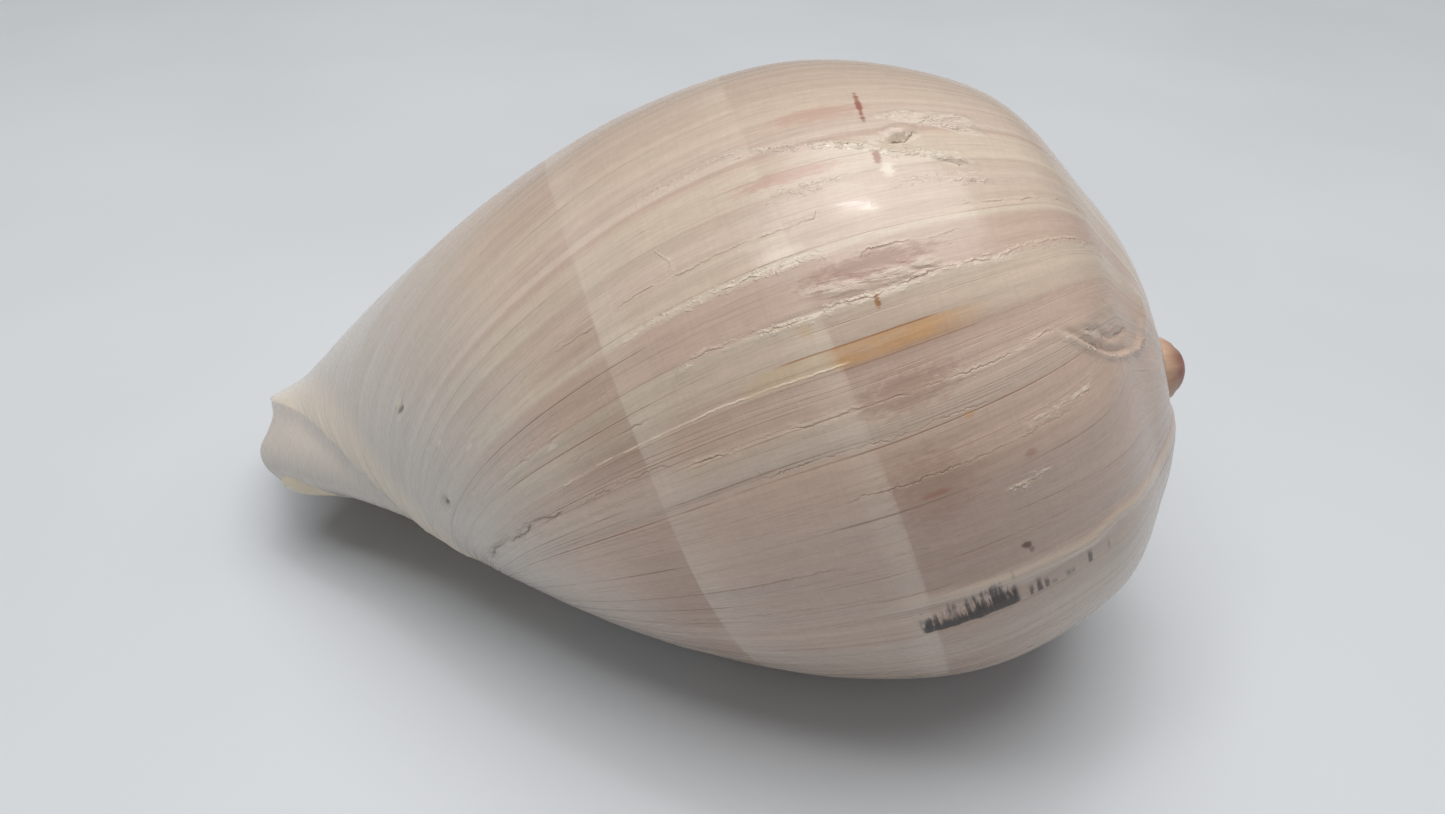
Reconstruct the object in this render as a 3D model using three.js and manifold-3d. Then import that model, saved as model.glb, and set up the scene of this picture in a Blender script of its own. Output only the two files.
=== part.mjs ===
// Melon shell lying on its opening with its rounded back up.
// Millimetres, +Z up, apex towards +X, siphonal (front) end towards -X.
// The origin is under the middle of the shell, on the surface that it rests on.
import * as THREE from 'three';
import { mergeVertices } from 'three/addons/utils/BufferGeometryUtils.js';
import Module from 'manifold-3d';

const DEGREE = Math.PI / 180;
const TURN = 2 * Math.PI;

// Growth: each turn repeats the one before it, this many times larger, about one axis.
// The whorl is a little fuller on one side of that axis.
const WHORL_RATIO = 2.316;
const GROWTH_RATE = Math.log(WHORL_RATIO) / TURN;
const FULLNESS = 0.035;
const FULL_SIDE = 55 * DEGREE;

// Outline of the body whorl on the far side (+Y), next to the outer lip, from the suture to the
// fasciole ridge. Each point is the distance from the apex along the axis, then the radius.
const BODY_OUTLINE = [
  [4.6, 13.0], [5.3, 27.2], [13.1, 45.0], [31.1, 72.2], [71.0, 89.5],
  [114.8, 88.1], [156.7, 75.6], [194.8, 57.4], [231.0, 33.2],
];

// The fasciole goes on from that ridge, round the tip of the columella. It is full beside the notch
// and worn down to a narrow band where it is older.
const FASCIOLE_OUTLINE = [
  [231.0, 33.2], [234.5, 30.4], [242.0, 28.0], [249.0, 24.5], [252.0, 19.5], [250.0, 12.0],
];
const OLD_FASCIOLE_OUTLINE = [
  [231.0, 33.2], [232.0, 29.5], [235.0, 25.5], [236.5, 21.0], [235.0, 16.0], [230.0, 10.0],
];
const FASCIOLE_WEAR = [-205 * DEGREE, -125 * DEGREE];

// Growth lines lead on the back and lag towards both ends, most at the front, where the notch is.
const SWEEP_LEAD = 0.38;
const SWEEP_SHOULDER = 11 * DEGREE;
const SWEEP_GENTLE = 30 * DEGREE;
const SWEEP_STEEP = 45 * DEGREE;
const SWEEP_NOTCH = 42 * DEGREE;
const SWEEP_SHOULDER_POWER = 1.5;
const SWEEP_STEEP_POWER = 12;

// Direction of the outer lip about the axis, and the flare of the front end beside the notch.
const LIP_ANGLE = -3 * DEGREE;
const FLARE = [3.2, 2.4];
const FLARE_SPAN = 14 * DEGREE;
const FLARE_START = 0.84;
const FLARE_END = 0.45;

// Wall, with its thinner edge at the outer lip.
const WALL = 3.2;
const LIP_EDGE = 2.0;
const LIP_TAPER = 25 * DEGREE;

// Glaze over the older whorl on the inner side of the opening.
const GLAZE = 0.8;

// Front of the hollow, from under the fasciole ridge back to the older whorl.
// It is closed by shell in older sections and open where the notch is.
const CLOSED_FRONT = [[220, 32], [212, 21], [188, 12.5], [150, 9.5], [120, 10.5], [106, 14.8]];
const OPEN_FRONT = [[234, 27], [238, 18], [208, 11], [150, 8.5], [120, 10.5], [106, 14.8]];
const FRONT_OPENS = [-190 * DEGREE, -105 * DEGREE];

// Columella: the twisted pillar that the whorls wind round, by distance from the apex.
// It leans off the axis towards its tip, and spiral folds run round its middle.
const COLUMELLA_RADII = [[42, 2.4], [64, 6.0], [92, 8.6], [120, 8.2], [150, 6.4], [176, 4.6], [184, 1.6]];
const COLUMELLA_LEAN = [98, 182];
const COLUMELLA_TIP = [-5.5, 10.5];
const FOLD_PHASES = [0.08, 0.27, 0.46];
const FOLD_WIDTH = 0.055;
const FOLD_HEIGHT = 2.2;
const FOLD_RANGE = [60, 82, 118, 150];

// Parts of the outline that bound the hollow, and how far the hollow winds back from the lip.
const HOLLOW_OUTER = [0.14, 0.93];
const HOLLOW_INNER = [0.96, 0.3];
const HOLLOW_START = -481 * DEGREE;
const HOLLOW_END = 19 * DEGREE;

// Points on the axis where the two ends of the filled shape close.
const APEX_POINT = 5.5;
const COLUMELLA_POINT = 116;

// Size of the older turn, which shows only inside the spire, against one whole step of growth.
const OLDER_TURN_FIT = 0.983;

// Protoconch: the smooth first whorls, a rounded knob that stands out of the spire.
const PROTOCONCH_RADIUS = 7.2;
const PROTOCONCH_LENGTH = 8.4;
const PROTOCONCH_BASE = 5.3;

// Rest: the tilt of the axis on the surface, and the depth of the worn spots that it lies on.
const REST_ROLL = -27.4 * DEGREE;
const REST_PITCH = -16.8 * DEGREE;
const WORN_DEPTH = 0.6;

// Fineness of the surfaces.
const TURN_STEPS = 54;
const BODY_STEPS = 27;
const FASCIOLE_STEPS = 7;
const LIP_FACE_STEPS = 6;
const HOLLOW_STEPS = 49;
const HOLLOW_OUTER_STEPS = 13;
const HOLLOW_FRONT_STEPS = 9;
const HOLLOW_INNER_STEPS = 12;
const COLUMELLA_STEPS = 30;
const COLUMELLA_SIDES = 14;
const PROTOCONCH_SIDES = 20;

// Points closer than this are one point.
const MERGE_DISTANCE = 1e-4;

const wasm = await Module();
wasm.setup();

const curve = (points) => new THREE.SplineCurve(points.map(([u, r]) => new THREE.Vector2(u, r)));
const bodyCurve = curve(BODY_OUTLINE);
const fascioleCurve = curve(FASCIOLE_OUTLINE);
const oldFascioleCurve = curve(OLD_FASCIOLE_OUTLINE);
const closedFrontCurve = curve(CLOSED_FRONT);
const openFrontCurve = curve(OPEN_FRONT);
const columellaCurve = curve(COLUMELLA_RADII);
const flareVector = new THREE.Vector2(...FLARE);
const columellaTip = new THREE.Vector2(...COLUMELLA_TIP);
const { lerp, smoothstep } = THREE.MathUtils;
const steps = (count) => Array.from({ length: count + 1 }, (_, i) => i / count);

// Point of the shell for an outline point and an angle of growth, which is 0 at the outer lip.
function grow(angle, { x: u, y: r }) {
  const turned = angle + LIP_ANGLE;
  const size = Math.exp(GROWTH_RATE * turned) * (1 + FULLNESS * Math.cos(turned - FULL_SIDE));
  return new THREE.Vector3(-size * u, size * r * Math.cos(turned), -size * r * Math.sin(turned));
}

// Angle by which a growth line lags at a place along the body outline.
function sweep(s) {
  if (s < SWEEP_LEAD) return -SWEEP_SHOULDER * (1 - s / SWEEP_LEAD) ** SWEEP_SHOULDER_POWER;
  const q = (s - SWEEP_LEAD) / (1 - SWEEP_LEAD);
  return -SWEEP_GENTLE * q ** 2 - SWEEP_STEEP * q ** SWEEP_STEEP_POWER;
}

// Outward normal of an outline.
function outward(outline, s) {
  const { x, y } = outline.getTangent(s);
  return new THREE.Vector2(-y, x);
}

// The filled shape of one turn: outside of the body whorl and the fasciole, closed at both ends,
// with a step at the lip down to the turn before.
function filledTurn() {
  const outline = [
    ...steps(BODY_STEPS).map((s) => (
      { at: bodyCurve.getPoint(s), lag: sweep(s), flare: smoothstep(s, FLARE_START, 1) })),
    ...steps(FASCIOLE_STEPS).slice(1).map((s) => ({
      at: fascioleCurve.getPoint(s),
      old: oldFascioleCurve.getPoint(s),
      lag: sweep(1) - SWEEP_NOTCH * s,
      flare: 1 - smoothstep(s, 0, FLARE_END),
    })),
  ];
  const surfacePoint = ({ at, old = at, lag, flare }, time) => {
    const angle = time + lag;
    const share = flare * Math.exp(-((time / FLARE_SPAN) ** 2));
    const worn = old.clone().lerp(at, smoothstep(angle, ...FASCIOLE_WEAR));
    return grow(angle, worn.addScaledVector(flareVector, share));
  };
  const columns = steps(TURN_STEPS).map((t) => outline.map((place) => surfacePoint(place, (t - 1) * TURN)));
  const [first, last] = [columns[0], columns[TURN_STEPS]];
  const lipFace = steps(LIP_FACE_STEPS).slice(1, -1)
    .map((t) => outline.map((_, i) => last[i].clone().lerp(first[i], t)));
  const loop = [...columns, ...lipFace];
  return closedLoft(loop, new THREE.Vector3(-APEX_POINT, 0, 0), new THREE.Vector3(-COLUMELLA_POINT, 0, 0));
}

// Section of the hollow at a given angle, at the lip's size, as a closed ring of points.
function hollowSection(angle) {
  const outer = steps(HOLLOW_OUTER_STEPS).map((t) => {
    const s = lerp(...HOLLOW_OUTER, t);
    const wall = lerp(LIP_EDGE, WALL, smoothstep(sweep(s) - angle, 0, LIP_TAPER));
    return bodyCurve.getPoint(s).addScaledVector(outward(bodyCurve, s), -wall);
  });
  const open = smoothstep(angle, ...FRONT_OPENS);
  const front = steps(HOLLOW_FRONT_STEPS)
    .map((t) => closedFrontCurve.getPoint(t).lerp(openFrontCurve.getPoint(t), open));
  const inner = steps(HOLLOW_INNER_STEPS).map((t) => {
    const s = lerp(...HOLLOW_INNER, t);
    return bodyCurve.getPoint(s).divideScalar(WHORL_RATIO).addScaledVector(outward(bodyCurve, s), GLAZE);
  });
  return [...outer, ...front, ...inner];
}

// The hollow that the animal lived in, wound back from the mouth.
function hollow() {
  const rings = steps(HOLLOW_STEPS).map((t) => {
    const angle = lerp(HOLLOW_START, HOLLOW_END, t);
    const flat = hollowSection(angle);
    return { flat, points: flat.map((point) => grow(angle, point)) };
  });
  return closedTube(rings);
}

// Height of the spiral folds on the columella at a place along it and an angle round it.
function foldHeight(u, angle) {
  const phase = Math.log(u) / Math.log(WHORL_RATIO) + angle / TURN;
  const distance = (place) => Math.abs(THREE.MathUtils.euclideanModulo(phase - place + 0.5, 1) - 0.5);
  const ridge = (place) => Math.exp(-((distance(place) / FOLD_WIDTH) ** 2));
  const ridges = FOLD_PHASES.reduce((sum, place) => sum + ridge(place), 0);
  const [riseStart, riseEnd, fallStart, fallEnd] = FOLD_RANGE;
  return FOLD_HEIGHT * ridges * smoothstep(u, riseStart, riseEnd) * (1 - smoothstep(u, fallStart, fallEnd));
}

// The columella with its folds.
function columella() {
  const rings = steps(COLUMELLA_STEPS).map((t) => {
    const { x: u, y: radius } = columellaCurve.getPoint(t);
    const lean = smoothstep(u, ...COLUMELLA_LEAN);
    const flat = steps(COLUMELLA_SIDES).slice(1).map((turn) => {
      const angle = turn * TURN;
      const direction = new THREE.Vector2(Math.cos(angle), Math.sin(angle));
      return direction.multiplyScalar(radius + foldHeight(u, angle)).addScaledVector(columellaTip, lean);
    });
    return { flat, points: flat.map(({ x, y }) => new THREE.Vector3(-u, x, y)) };
  });
  return closedTube(rings);
}

// Protoconch as a round dome on the axis.
function protoconch() {
  const dome = new THREE.SphereGeometry(PROTOCONCH_RADIUS, PROTOCONCH_SIDES, PROTOCONCH_SIDES / 2);
  dome.rotateZ(-Math.PI / 2);
  dome.scale(PROTOCONCH_LENGTH / PROTOCONCH_RADIUS, 1, 1);
  dome.translate(-PROTOCONCH_BASE, 0, 0);
  return dome;
}

// Geometry from points and triangles.
function meshGeometry(points, triangles) {
  const geometry = new THREE.BufferGeometry().setFromPoints(points);
  geometry.setIndex(triangles);
  return geometry;
}

// Two triangles for a quad, split along its shorter diagonal so that slanted quads stay smooth.
function quadTriangles(points, a, b, c, d) {
  const splitsAtA = points[a].distanceToSquared(points[c]) < points[b].distanceToSquared(points[d]);
  return splitsAtA ? [a, b, c, a, c, d] : [a, b, d, b, c, d];
}

// Quads between neighbouring rows of points. Either the rows or the points in each row form a loop.
function latticeTriangles(points, rowCount, rowLength, isRing) {
  const triangles = [];
  const width = isRing ? rowLength : rowLength - 1;
  const height = isRing ? rowCount - 1 : rowCount;
  for (let j = 0; j < height; j += 1) {
    for (let i = 0; i < width; i += 1) {
      const [row, next] = [j * rowLength, ((j + 1) % rowCount) * rowLength];
      const right = (i + 1) % rowLength;
      triangles.push(...quadTriangles(points, row + i, next + i, next + right, row + right));
    }
  }
  return triangles;
}

// Rows of points joined in a loop, with each side of the rows closed on one point.
function closedLoft(rows, startPoint, endPoint) {
  const width = rows[0].length;
  const points = [...rows.flat(), startPoint, endPoint];
  const triangles = latticeTriangles(points, rows.length, width, false);
  const [start, end] = [points.length - 2, points.length - 1];
  rows.forEach((_, j) => {
    const [row, next] = [j * width, ((j + 1) % rows.length) * width];
    triangles.push(start, next, row, end, row + width - 1, next + width - 1);
  });
  return meshGeometry(points, triangles);
}

// Rings of points joined in a row, with both ends closed. A ring has its points and a flat copy of them.
function closedTube(rings) {
  const width = rings[0].points.length;
  const points = rings.flatMap((ring) => ring.points);
  const triangles = latticeTriangles(points, rings.length, width, true);
  const lastRow = (rings.length - 1) * width;
  const startCap = capTriangles(rings[0].flat);
  const endCap = capTriangles(rings.at(-1).flat).map((corners) => corners.map((i) => lastRow + i).reverse());
  return meshGeometry(points, [...triangles, ...startCap.flat(), ...endCap.flat()]);
}

// Triangles that fill a flat ring, in the ring's own direction.
function capTriangles(flat) {
  const triangles = THREE.ShapeUtils.triangulateShape(flat, []);
  return THREE.ShapeUtils.isClockWise(flat) ? triangles.map((corners) => corners.reverse()) : triangles;
}

// Closed geometry to a solid that can be joined and cut.
function solid(geometry) {
  geometry.deleteAttribute('normal');
  geometry.deleteAttribute('uv');
  const merged = mergeVertices(geometry, MERGE_DISTANCE);
  return new wasm.Manifold(new wasm.Mesh({
    numProp: 3,
    vertProperties: merged.attributes.position.array,
    triVerts: new Uint32Array(merged.index.array),
  }));
}

// Solid back to geometry.
function solidGeometry(body) {
  const mesh = body.getMesh();
  const geometry = new THREE.BufferGeometry();
  geometry.setAttribute('position', new THREE.BufferAttribute(mesh.vertProperties, 3));
  geometry.setIndex(new THREE.BufferAttribute(mesh.triVerts, 1));
  return geometry;
}

function shellGeometry() {
  const turn = filledTurn();
  const olderSize = OLDER_TURN_FIT / WHORL_RATIO;
  const olderTurn = turn.clone().scale(olderSize, olderSize, olderSize);
  const filled = solid(turn).add(solid(olderTurn)).add(solid(protoconch()));
  const grown = filled.subtract(solid(hollow())).add(solid(columella()));
  const resting = solidGeometry(grown);
  resting.rotateX(REST_ROLL).rotateY(REST_PITCH);
  resting.computeBoundingBox();
  const { min, max } = resting.boundingBox;
  const [width, depth, height] = max.clone().sub(min).toArray();
  resting.translate(-(min.x + max.x) / 2, -(min.y + max.y) / 2, -min.z - WORN_DEPTH);
  const ground = new THREE.BoxGeometry(2 * width, 2 * depth, height).translate(0, 0, -height / 2);
  return solidGeometry(solid(resting).subtract(solid(ground)));
}

const shellMaterial = new THREE.MeshStandardMaterial({ color: 0xc4b4a3, roughness: 0.38, metalness: 0 });
const shell = new THREE.Mesh(shellGeometry(), shellMaterial);
shell.name = 'melon_shell';

const melonShell = new THREE.Group();
melonShell.add(shell);

export default melonShell;
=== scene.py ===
"""Looks of a melon shell that lies on its opening: its surface with growth lines, mended breaks and scars,
its colours, a plain floor, soft light and a camera."""
import math

import bmesh
import bpy
import numpy as np
from mathutils import Matrix, Vector


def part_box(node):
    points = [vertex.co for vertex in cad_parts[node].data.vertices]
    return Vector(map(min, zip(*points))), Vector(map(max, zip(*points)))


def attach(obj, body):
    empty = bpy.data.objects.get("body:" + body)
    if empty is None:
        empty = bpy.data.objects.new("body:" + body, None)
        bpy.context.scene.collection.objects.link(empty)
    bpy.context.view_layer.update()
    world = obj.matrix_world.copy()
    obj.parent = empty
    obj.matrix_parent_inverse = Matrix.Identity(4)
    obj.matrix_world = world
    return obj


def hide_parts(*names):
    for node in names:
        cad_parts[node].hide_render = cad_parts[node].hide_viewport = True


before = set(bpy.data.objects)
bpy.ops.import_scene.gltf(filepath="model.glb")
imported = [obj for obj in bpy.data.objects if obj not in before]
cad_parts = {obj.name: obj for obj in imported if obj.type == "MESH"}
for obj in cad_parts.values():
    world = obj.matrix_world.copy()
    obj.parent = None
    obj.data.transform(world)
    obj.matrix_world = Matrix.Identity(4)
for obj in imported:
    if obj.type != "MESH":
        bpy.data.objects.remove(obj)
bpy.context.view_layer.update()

MM = 0.001
NODE = "melon_shell"

# Growth of the shell, as in the frame: each turn repeats the one before it, larger, about one axis.
# Angles are in degrees and lengths in millimetres.
WHORL_RATIO = 2.316
FULLNESS = 0.035
FULL_SIDE = 55
LIP_ANGLE = -3

# Outlines as distance from the apex along the axis, then radius.
BODY_OUTLINE = [
    (4.6, 13.0), (5.3, 27.2), (13.1, 45.0), (31.1, 72.2), (71.0, 89.5),
    (114.8, 88.1), (156.7, 75.6), (194.8, 57.4), (231.0, 33.2),
]
FASCIOLE_OUTLINE = [
    (231.0, 33.2), (234.5, 30.4), (242.0, 28.0), (249.0, 24.5), (252.0, 19.5), (250.0, 12.0),
]
OLD_FASCIOLE_OUTLINE = [
    (231.0, 33.2), (232.0, 29.5), (235.0, 25.5), (236.5, 21.0), (235.0, 16.0), (230.0, 10.0),
]
FASCIOLE_WEAR = (-205, -125)

# Lag of the growth lines along the outline.
SWEEP_LEAD = 0.38
SWEEP_SHOULDER = 11
SWEEP_GENTLE = 30
SWEEP_STEEP = 45
SWEEP_NOTCH = 42

# Flare beside the notch, wall, lip edge and the hollow.
FLARE = (3.2, 2.4)
FLARE_SPAN = 14
FLARE_START = 0.84
FLARE_END = 0.45
WALL = 3.2
LIP_EDGE = 2.0
LIP_TAPER = 25
LIP_ROUND = 0.85
GLAZE = 0.3
CLOSED_FRONT = [(220, 32), (212, 21), (188, 12.5), (150, 9.5), (120, 10.5), (106, 14.8)]
OPEN_FRONT = [(234, 27), (238, 18), (208, 11), (150, 8.5), (120, 10.5), (106, 14.8)]
FRONT_OPENS = (-190, -105)
HOLLOW_OUTER = (0.14, 0.93)
HOLLOW_INNER = (0.96, 0.3)
APEX_POINT = 5.5
COLUMELLA_POINT = 116
OLDER_TURN_FIT = 0.983

# Columella with its folds.
COLUMELLA_RADII = [(42, 2.4), (64, 6.0), (92, 8.6), (120, 8.2), (150, 6.4), (176, 4.6), (184, 1.6)]
COLUMELLA_LEAN = (98, 182)
COLUMELLA_TIP = (-5.5, 10.5)
FOLD_PHASES = (0.08, 0.27, 0.46)
FOLD_WIDTH = 0.055
FOLD_HEIGHT = 2.2
FOLD_RANGE = (60, 82, 118, 150)

# Protoconch: the rounded first whorls.
PROTOCONCH_RADIUS = 7.2
PROTOCONCH_LENGTH = 8.4
PROTOCONCH_BASE = 5.3
PROTOCONCH_LEAN = (-0.3, -1.7)
SEAM_TURNS = 5
SEAM_DEPTH = 0.03
SEAM_WIDTH = 0.12
SEAM_START = (0.2, 0.5)

# Rest on the floor.
REST_ROLL = -27.4
REST_PITCH = -16.8
WORN_DEPTH = 0.6

# Joined mesh: thickness of the faces that are removed, and angle above which an edge stays sharp.
SLIVER = 0.005
SHARP_EDGE = 50

# Camera: turns about X, Y and Z and the offset that bring the shell's own frame into the camera's.
VIEW_TURNS = (9.32, -10.915, -12.3)
VIEW_OFFSET = (84.2, 0.0, 9.37)
VIEW_DISTANCE = 209.3
FOCAL_SHARE = 1100 / 1445
SENSOR = 36.0
CLIP_START = 0.01

# Lights: name, position, length and width in metres, and power in watts. All face one point.
LIGHTS = [
    ("overhead", (0.08, 0.1, 1.3), 1.3, 1.3, 14.0),
    ("strip", (0.0, 0.14, 1.05), 0.24, 0.02, 0.62),
    ("left", (-0.43, -0.20, 1.02), 0.22, 0.22, 0.9),
    ("front_fill", (-0.3, -1.2, 0.9), 1.0, 1.0, 1.1),
]
LIGHT_AIM = (0, 0, 0.05)
SURROUND = (0.93, 0.96, 1.0, 1.0)
SURROUND_STRENGTH = 0.19
FLOOR_SIZE = 6.0
FLOOR_GRAIN = 9.0


def smooth(x, low, high):
    """Smooth step from 0 at low to 1 at high."""
    t = np.clip((np.asarray(x, float) - low) / (high - low), 0, 1)
    return t * t * (3 - 2 * t)


def hump(x, rise_start, rise_end, fall_start, fall_end):
    """Smooth rise from 0 to 1, then a fall back to 0."""
    return smooth(x, rise_start, rise_end) * (1 - smooth(x, fall_start, fall_end))


def window(x, low, high, fade):
    """1 between low and high, falling to 0 over the fade outside them."""
    return hump(x, low - fade, low, high, high + fade)


def bell(x):
    """1 at 0, falling away on both sides."""
    return np.exp(-(x ** 2))


def noise(x, y=0.0, seed=0):
    """Smooth noise between -1 and 1, with one bump for each unit."""
    x, y = np.broadcast_arrays(np.asarray(x, float), np.asarray(y, float))
    i, j = np.floor(x), np.floor(y)
    u, v = smooth(x - i, 0, 1), smooth(y - j, 0, 1)

    def corner(a, b):
        value = np.sin(127.1 * a + 311.7 * b + 74.7 * seed) * 43758.5453
        return 2 * (value - np.floor(value)) - 1

    low = corner(i, j) * (1 - u) + corner(i + 1, j) * u
    high = corner(i, j + 1) * (1 - u) + corner(i + 1, j + 1) * u
    return low * (1 - v) + high * v


def curve(points, t):
    """Smooth curve through the points, at a share of the way along them."""
    p = np.asarray(points, float)
    x = np.clip(t, 0, 1) * (len(p) - 1)
    i = np.minimum(x.astype(int), len(p) - 2)
    w = (x - i)[..., None]
    before, start, end, after = p[np.maximum(i - 1, 0)], p[i], p[i + 1], p[np.minimum(i + 2, len(p) - 1)]
    leave, arrive = (end - before) / 2, (after - start) / 2
    bend = (2 * (start - end) + leave + arrive) * w + 3 * (end - start) - 2 * leave - arrive
    return (bend * w + leave) * w + start


def outward(points, t):
    """Outward normal of an outline."""
    step = 1e-4
    d = curve(points, np.clip(t + step, 0, 1)) - curve(points, np.clip(t - step, 0, 1))
    n = np.stack([-d[..., 1], d[..., 0]], -1)
    return n / np.linalg.norm(n, axis=-1, keepdims=True)


def sweep(s):
    """Angle by which a growth line lags at a place along the outline."""
    shoulder = -SWEEP_SHOULDER * np.clip(1 - s / SWEEP_LEAD, 0, 1) ** 1.5
    q = np.clip((s - SWEEP_LEAD) / (1 - SWEEP_LEAD), 0, 1)
    return shoulder - SWEEP_GENTLE * q ** 2 - SWEEP_STEEP * q ** 12


def whorl_size(turned):
    """Size of the whorl at an angle about the axis."""
    return WHORL_RATIO ** (turned / 360) * (1 + FULLNESS * np.cos(np.radians(turned - FULL_SIDE)))


def grow(angle, outline):
    """Points of the shell for angles of growth, which are 0 at the lip, and outline points."""
    turned = angle + LIP_ANGLE
    size = whorl_size(turned)
    u, r = size * outline[..., 0], size * outline[..., 1]
    a = np.radians(turned)
    return np.stack([-u, r * np.cos(a), -r * np.sin(a)], -1)


# Marks of the outside, by growth in degrees, 0 at the lip, and place along the outline from 0 to 1.
# A break has its growth, its places from and to, then step height, darkness, paleness and waviness.
# The darkness paints a dark seam line, partly the real line and partly painted shadow under the step;
# the paleness paints a pale edge, partly pale flakes and partly painted highlight.
# A darkness below 0 stands for a thin raised pale line, partly painted highlight along its ridge.
BREAKS = [
    (-121.4, 0.590, 0.632, 0.25, 0.15, 0.80, 0.8),
    (-127.7, 0.620, 0.660, 0.25, 0.80, 0.20, 1.0),
    (-131.5, 0.500, 0.548, 0.20, 0.10, 0.80, 0.6),
    (-134.4, 0.410, 0.465, 0.15, 0.10, 0.80, 0.6),
    (-137.2, 0.530, 0.760, 0.12, 0.80, 0.15, 0.7),
    (-140.3, 0.300, 0.430, 0.20, 0.75, 0.30, 0.7),
    (-142.6, 0.530, 0.667, 0.28, 0.35, 0.85, 0.9),
    (-144.5, 0.440, 0.500, 0.15, 0.75, 0.20, 0.7),
    (-148.6, 0.700, 0.780, 0.08, 0.70, 0.00, 0.4),
    (-150.6, 0.300, 0.640, 0.40, 0.80, 0.60, 1.3),
    (-150.6, 0.730, 0.870, 0.25, 0.45, 0.25, 0.9),
    (-155.9, 0.670, 0.745, 0.10, 0.70, 0.00, 0.4),
    (-158.9, 0.535, 0.760, 0.28, -1.0, 1.00, 0.4),
    (-165.6, 0.400, 0.655, 0.25, 0.80, 0.30, 1.2),
    (-163.6, 0.675, 0.770, 0.10, 0.70, 0.00, 0.4),
    (-163.6, 0.785, 0.930, 0.40, 0.30, 0.30, 2.0),
    (-171.0, 0.455, 0.600, 0.12, 0.75, 0.10, 0.5),
    (-178.0, 0.395, 0.550, 0.12, 0.75, 0.10, 0.5),
    (-177.0, 0.375, 0.420, 0.15, 0.00, 0.70, 0.4),
    (-184.7, 0.428, 0.446, 0.20, 0.20, 1.00, 0.4),
    (-189.0, 0.480, 0.640, 0.10, 0.45, 0.10, 0.5),
    (-196.0, 0.560, 0.760, 0.10, 0.40, 0.10, 0.5),
    (-95.0, 0.350, 0.620, 0.25, 0.50, 0.40, 0.9),
    (-72.0, 0.300, 0.700, 0.30, 0.45, 0.45, 0.9),
    (-41.0, 0.250, 0.760, 0.25, 0.40, 0.40, 0.8),
    (-16.0, 0.200, 0.800, 0.20, 0.35, 0.40, 0.6),
    (-243.0, 0.300, 0.700, 0.25, 0.40, 0.40, 0.8),
    (-290.0, 0.350, 0.750, 0.20, 0.40, 0.30, 0.8),
]

# Reach of a line mark's colour, fade of a break's ends, half the width of its edge, and the reach of its
# older and younger sides, then its waves along the outline with a seed each. A far mark shows nothing.
LINE_REACH = 1.5
BREAK_FADE = 0.012
BREAK_EDGE = 0.15
BREAK_SIDES = (1.1, 0.7)
BREAK_WAVES = [(22, 0), (50, 50)]
FAR_MARK = (9.0, 0.0, 0.0)

# Growth ridges: height, then wavelength in degrees and changes along the outline. The first are slow waves,
# which stay where the upper back is worn smooth. All relief ends at the oldest edge, the lip and the front.
GROWTH_WAVES = [(0.2, 11, 4), (0.1, 4.6, 5), (0.06, 1.7, 4), (0.03, 0.95, 7)]
WORN_BACK = (-146.0, -100.0, 12.0)
WORN_PLACES = (0.6, 0.75)
RELIEF_GROWTH = (-358, -345, -5, -1.5)
RELIEF_PLACES = (0.0, 0.03, 1.7, 2.0)

# On the shoulder the growth lines run ahead of the lag above, where the shell is neither old nor new.
LINE_LEAD = 14.5
LINE_LEAD_PLACES = (0.30, 0.54)
LINE_LEAD_AGES = (-195, -162, -90, -30)

# Former lip: an edge where growth stopped, with a swollen older shoulder behind it.
FORMER_LIP = [
    (0.12, -203.6), (0.20, -204.8), (0.27, -204.3), (0.314, -201.4), (0.37, -199.8), (0.40, -201.8),
    (0.46, -201.0), (0.52, -199.3),
]
FORMER_LIP_PLACES = (0.08, 0.53)
FORMER_LIP_RIDGE = 0.55
SWELLING = 0.7

# Pale spiral bands: place of the front edge, growth where it is lowest, bend, and width.
BAND_1 = (0.686, -155, 5.4e-6, 0.0150)
BAND_2 = (0.540, -187, 1.07e-5, 0.0135)
BAND_BEND_LIMIT = 60

# Pits, as growth, place, radius and depth.
PITS = [(-112.4, 0.902, 1.2, 0.7), (-141.1, 0.912, 1.4, 0.8)]

# Scars: angle about the axis, place, then radii in millimetres along growth and along place.
LUMP = (-125.4, 0.4555, 2.1, 2.9)
LUMP_HEIGHT = 0.8
CHALK = [
    (-121.2, 0.440, 1.6, 6.5), (-119.4, 0.417, 1.3, 5.0), (-122.3, 0.412, 1.3, 4.5),
    (-130.4, 0.428, 1.5, 4.0), (-127.5, 0.470, 1.2, 1.6), (-152.9, 0.520, 1.1, 4.0),
    (-152.0, 0.487, 1.3, 4.5), (-150.6, 0.468, 1.0, 3.0),
]
CREASE_MIDDLE = (-164.5, 0.325)
CREASE_DEPTH = 0.25
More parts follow.
